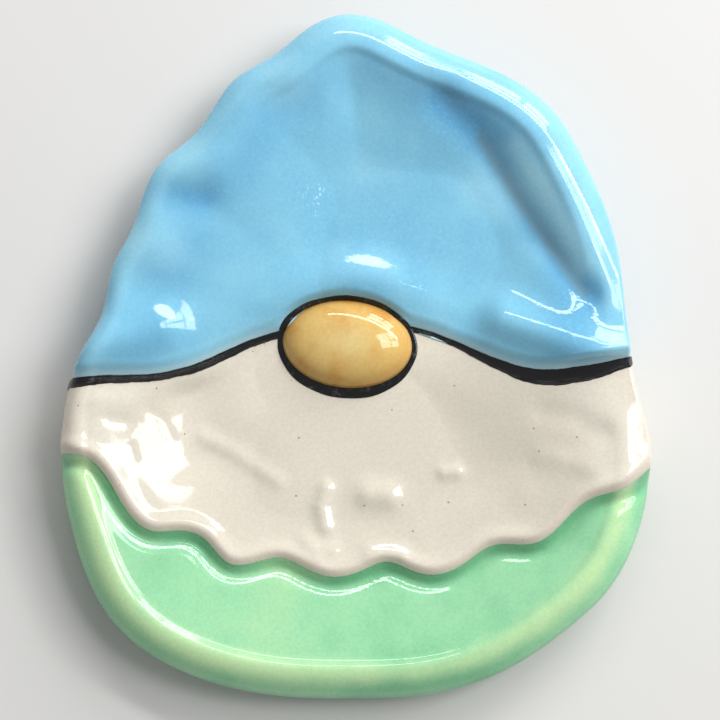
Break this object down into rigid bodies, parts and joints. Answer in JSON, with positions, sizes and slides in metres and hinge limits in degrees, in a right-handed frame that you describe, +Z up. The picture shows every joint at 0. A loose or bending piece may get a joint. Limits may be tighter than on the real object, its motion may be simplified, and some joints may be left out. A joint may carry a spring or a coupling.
{
  "type": "gnome-shaped dish",
  "caption": "Glazed ceramic dish in the shape of a gnome's face and pointed hat, with a scalloped beard and a raised nose, that lies flat and holds a spoon or trinkets.",
  "frame": {"origin": "on the surface that the dish lies on, under the middle of its outline", "axes": "+X to the right, +Y from the beard to the hat's tip, +Z up out of the dish"},
  "size_m": [0.1201, 0.1401, 0.0159],
  "materials": {
    "green_glaze": "polished",
    "cream_glaze": "polished",
    "blue_glaze": "polished",
    "ochre_glaze": "polished",
    "black_slip": "satin"
  },
  "bodies": {
    "root": {"base_slab": "green_glaze", "beard_slab": "cream_glaze", "hat_slab": "blue_glaze", "nose": "ochre_glaze", "nose_line": "black_slip", "brim_line_left": "black_slip", "brim_line_right": "black_slip"}
  },
  "joints": []
}
